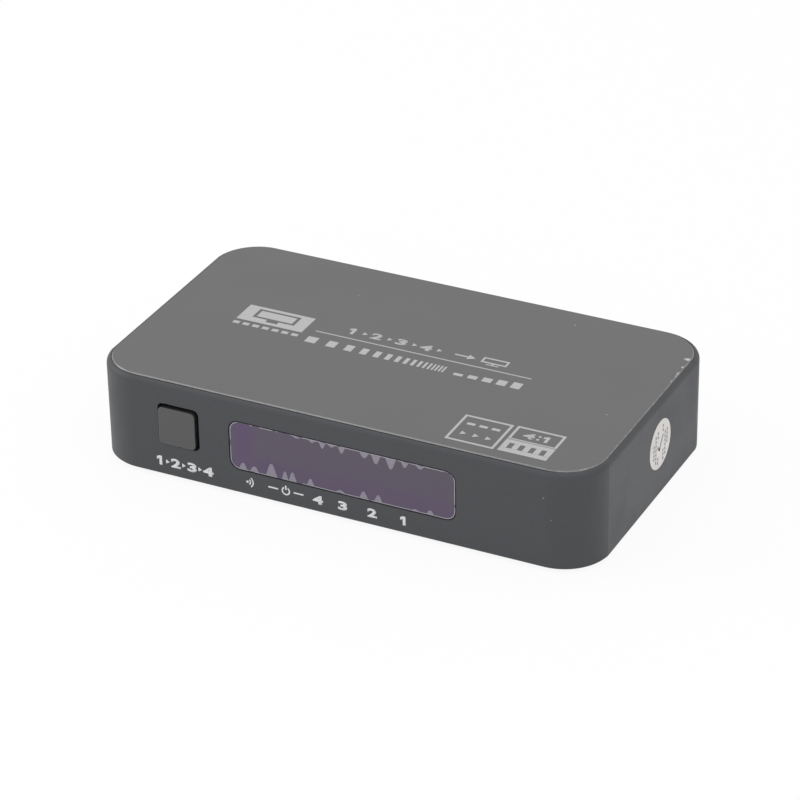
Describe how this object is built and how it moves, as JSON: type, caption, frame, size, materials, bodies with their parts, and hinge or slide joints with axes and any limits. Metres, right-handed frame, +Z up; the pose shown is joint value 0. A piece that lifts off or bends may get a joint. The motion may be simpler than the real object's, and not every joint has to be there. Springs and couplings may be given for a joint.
{
  "type": "video switch box",
  "caption": "Flat rounded desktop box that passes one of several video sources to a screen: push button and tinted indicator window in front, video sockets and power jack behind.",
  "frame": {"origin": "on the surface that the rubber feet stand on, under the middle of the case", "axes": "+Z up, -Y out of the front wall with the button and the window, +X to the right seen from the front"},
  "size_m": [0.1201, 0.0688, 0.0245],
  "materials": {
    "case_plastic": "fine matt, dark grey",
    "cover_plastic": "fine matt, charcoal",
    "panel_sheet": "satin grey sheet with a bright cut edge",
    "adhesive": "translucent adhesive sheet",
    "tinted_lens": "smoked, slightly violet",
    "clear_film": "thin clear film",
    "button_plastic": "matt grey",
    "black_plastic": "black moulding",
    "spring_steel": "plain spring sheet",
    "bright_metal": "nickel plated sheet",
    "tinned_metal": "tinned wire",
    "gold": "gold plated",
    "board": "green solder mask",
    "receiver_resin": "dark moulded resin",
    "lamp_resin": "milky resin",
    "chip_resin": "black moulded resin",
    "thermal_rubber": "soft pale blue pad",
    "sink_metal": "black anodised",
    "can_metal": "bare can",
    "ferrite": "pressed ferrite",
    "dark_steel": "black zinc",
    "zinc_steel": "bright zinc",
    "foot_rubber": "black rubber",
    "seal_paper": "matt white paper"
  },
  "bodies": {
    "case": {"top_shell": "case_plastic", "bottom_cover": "cover_plastic", "top_panel": "panel_sheet", "panel_adhesive": "adhesive", "window_lens": "tinted_lens", "window_film": "clear_film", "switch_dome": "spring_steel", "switch_cover": "bright_metal", "switch_housing": "black_plastic", "switch_leads": "tinned_metal", "main_board": "board", "jack_housing": "black_plastic", "jack_pin": "bright_metal", "jack_spring": "spring_steel", "lamp_leads": "tinned_metal", "lamp_holder": "black_plastic", "remote_receiver": "receiver_resin", "receiver_leads": "tinned_metal", "switch_chip": "chip_resin", "thermal_pad": "thermal_rubber", "heat_sink": "sink_metal", "control_chip": "chip_resin", "memory_chips": "chip_resin", "regulator_chip": "chip_resin", "crystal": "bright_metal", "capacitors": "can_metal", "inductor": "ferrite", "case_screws": "dark_steel", "board_screws": "zinc_steel", "inspection_seal": "seal_paper", "video_in_1_shell": "bright_metal", "video_in_1_insulator": "black_plastic", "video_in_1_contacts": "gold", "video_in_2_shell": "bright_metal", "video_in_2_insulator": "black_plastic", "video_in_2_contacts": "gold", "video_in_3_shell": "bright_metal", "video_in_3_insulator": "black_plastic", "video_in_3_contacts": "gold", "video_in_4_shell": "bright_metal", "video_in_4_insulator": "black_plastic", "video_in_4_contacts": "gold", "video_out_shell": "bright_metal", "video_out_insulator": "black_plastic", "video_out_contacts": "gold", "lamp_power": "lamp_resin", "lamp_input_4": "lamp_resin", "lamp_input_3": "lamp_resin", "lamp_input_2": "lamp_resin", "lamp_input_1": "lamp_resin", "foot_front_left": "foot_rubber", "foot_front_right": "foot_rubber", "foot_rear_left": "foot_rubber", "foot_rear_right": "foot_rubber"},
    "button": {"select_button": "button_plastic"},
    "plunger": {"switch_plunger": "black_plastic"}
  },
  "joints": [
    {"name": "select_press", "type": "slide", "parent": "case", "child": "button", "axis": [0, 1, 0], "range_m": [0, 0.0003], "stiffness_N_per_m": 2000, "springref_m": -0.0003, "deforming": ["switch_dome"]},
    {"name": "plunger_slide", "type": "slide", "parent": "case", "child": "plunger", "axis": [0, 1, 0], "range_m": [0, 0.0003]}
  ],
  "couplings": [
    {"joint": "plunger_slide", "follows": "select_press", "ratio": 1}
  ]
}
